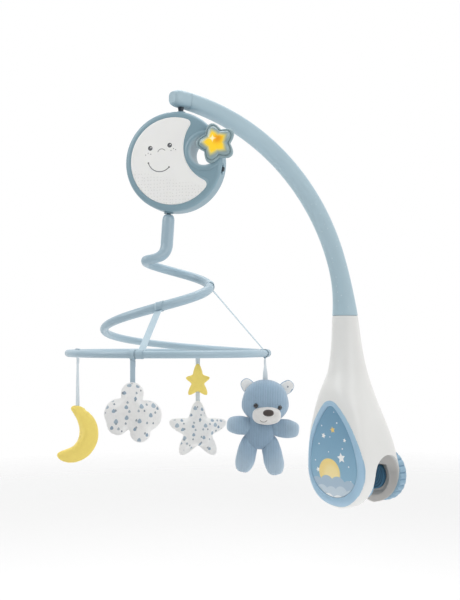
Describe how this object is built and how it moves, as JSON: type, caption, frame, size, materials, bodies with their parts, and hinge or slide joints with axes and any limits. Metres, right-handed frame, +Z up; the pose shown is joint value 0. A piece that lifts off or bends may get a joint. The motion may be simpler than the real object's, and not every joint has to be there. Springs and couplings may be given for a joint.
{
  "type": "crib mobile",
  "caption": "Crib mobile: drop-shaped rail clamp, bowed arm, round moon night light and a turning spiral hoop with hanging soft toys.",
  "frame": {"origin": "middle of the fixed rubber pad's face in the rail slot, where the crib rail bears", "axes": "+Z up; -Y over the crib, towards the arm's tip; +Y out of the crib, towards the knob; X along the rail"},
  "size_m": [0.2732, 0.5753, 0.576],
  "materials": {
    "white_shell": "satin white",
    "drop_blue": "soft satin",
    "print_panel": "printed",
    "pad_rubber": "matt",
    "arm_blue": "satin",
    "dark_pin": "satin",
    "knob_blue": "satin",
    "pad_dark": "matt",
    "steel": "plain",
    "lamp_grey_blue": "satin",
    "moon_white": "milky",
    "star_frost": "frosted",
    "star_yellow": "translucent",
    "switch_grey": "matt",
    "inner_plastic": "plain",
    "cell_wrap": "plain",
    "board": "plain",
    "led": "clear",
    "speaker_black": "plain",
    "motor_can": "plain",
    "gear_nylon": "plain",
    "hoop_blue": "satin",
    "strap_satin": "satin ribbon",
    "ribbon_white": "satin ribbon",
    "plush_yellow": "soft jersey",
    "plush_white": "soft jersey",
    "plush_blue": "short plush",
    "nose_brown": "stitched",
    "eye_black": "gloss"
  },
  "bodies": {
    "stand": {"base_housing": "white_shell", "drop_bezel": "drop_blue", "picture_panel": "print_panel", "fixed_pad": "pad_rubber", "arm_left": "arm_blue", "arm_right": "arm_blue", "arm_plug": "arm_blue", "arm_tip": "arm_blue", "hanger_pin": "dark_pin"},
    "knob": {"clamp_knob": "knob_blue", "knob_ring": "steel"},
    "jaw": {"clamp_pad": "pad_dark", "clamp_screw": "steel"},
    "lamp": {"lamp_front_shell": "lamp_grey_blue", "lamp_rear_shell": "lamp_grey_blue", "moon_diffuser": "moon_white", "hanger_bush": "lamp_grey_blue", "spindle_bush": "lamp_grey_blue", "shell_screws": "steel", "battery_tray": "inner_plastic", "battery_cells": "cell_wrap", "battery_door": "lamp_grey_blue", "door_screw": "steel", "circuit_board": "board", "lamp_leds": "led", "speaker": "speaker_black", "gear_plate": "inner_plastic", "gear_motor": "motor_can", "star_base": "star_frost"},
    "star_button": {"star_lens": "star_yellow"},
    "switch": {"slide_switch": "switch_grey"},
    "pinion": {"motor_pinion": "gear_nylon"},
    "carousel": {"spindle": "dark_pin", "spindle_gear": "gear_nylon", "spiral": "hoop_blue", "hoop": "hoop_blue", "strap_front": "strap_satin", "strap_right": "strap_satin"},
    "moon": {"moon_ribbon": "ribbon_white", "moon_toy": "plush_yellow"},
    "cloud": {"cloud_ribbon": "ribbon_white", "cloud_toy": "plush_white"},
    "little_star": {"star_ribbon": "ribbon_white", "small_star": "plush_yellow", "star_link_upper": "ribbon_white"},
    "great_star": {"star_link_lower": "ribbon_white", "big_star": "plush_white"},
    "bear": {"bear_ribbon": "ribbon_white", "bear_head": "plush_blue", "bear_body": "plush_blue", "bear_left_arm": "plush_blue", "bear_right_arm": "plush_blue", "bear_left_leg": "plush_blue", "bear_right_leg": "plush_blue", "bear_ears": "plush_blue", "bear_muzzle": "plush_white", "bear_nose": "nose_brown", "bear_eyes": "eye_black"}
  },
  "joints": [
    {"name": "knob_turn", "type": "hinge", "parent": "stand", "child": "knob", "pos_m": [0, 0.08, 0], "axis": [0, -1, 0], "range_deg": [0, 1530]},
    {"name": "pad_slide", "type": "slide", "parent": "stand", "child": "jaw", "axis": [0, -1, 0], "range_m": [0, 0.034]},
    {"name": "lamp_swivel", "type": "hinge", "parent": "stand", "child": "lamp", "pos_m": [0, -0.3256, 0.5042], "axis": [0, 0, 1], "range_deg": [-90, 90]},
    {"name": "star_press", "type": "slide", "parent": "lamp", "child": "star_button", "axis": [-0.6018, 0.7986, 0], "range_m": [0, 0.0015], "stiffness_N_per_m": 400},
    {"name": "switch_slide", "type": "slide", "parent": "lamp", "child": "switch", "axis": [0.1387, 0.1045, 0.9848], "range_m": [-0.0025, 0.0025]},
    {"name": "carousel_spin", "type": "hinge", "parent": "lamp", "child": "carousel", "pos_m": [-0.01294, -0.33535, 0.37726], "axis": [0, 0, 1], "continuous": true},
    {"name": "pinion_spin", "type": "hinge", "parent": "lamp", "child": "pinion", "pos_m": [-0.02516, -0.34456, 0.39355], "axis": [0, 0, 1], "continuous": true},
    {"name": "moon_swing", "type": "hinge", "parent": "carousel", "child": "moon", "pos_m": [-0.11905, -0.40693, 0.19526], "axis": [0.5592, -0.829, 0], "range_deg": [-25, 25]},
    {"name": "cloud_swing", "type": "hinge", "parent": "carousel", "child": "cloud", "pos_m": [0.05864, -0.44147, 0.19526], "axis": [0.829, 0.5592, 0], "range_deg": [-25, 25]},
    {"name": "star_swing", "type": "hinge", "parent": "carousel", "child": "little_star", "pos_m": [-0.08452, -0.22923, 0.19526], "axis": [-0.829, -0.5592, 0], "range_deg": [-25, 25]},
    {"name": "great_star_swing", "type": "hinge", "parent": "little_star", "child": "great_star", "pos_m": [-0.08452, -0.22923, 0.13426], "axis": [-0.829, -0.5592, 0], "range_deg": [-25, 25]},
    {"name": "bear_swing", "type": "hinge", "parent": "carousel", "child": "bear", "pos_m": [0.09318, -0.26377, 0.19526], "axis": [-0.5592, 0.829, 0], "range_deg": [-25, 25]}
  ],
  "couplings": [
    {"joint": "pad_slide", "follows": "knob_turn", "m_per_rad": 0.0012732},
    {"joint": "pinion_spin", "follows": "carousel_spin", "ratio": -1.8333}
  ]
}
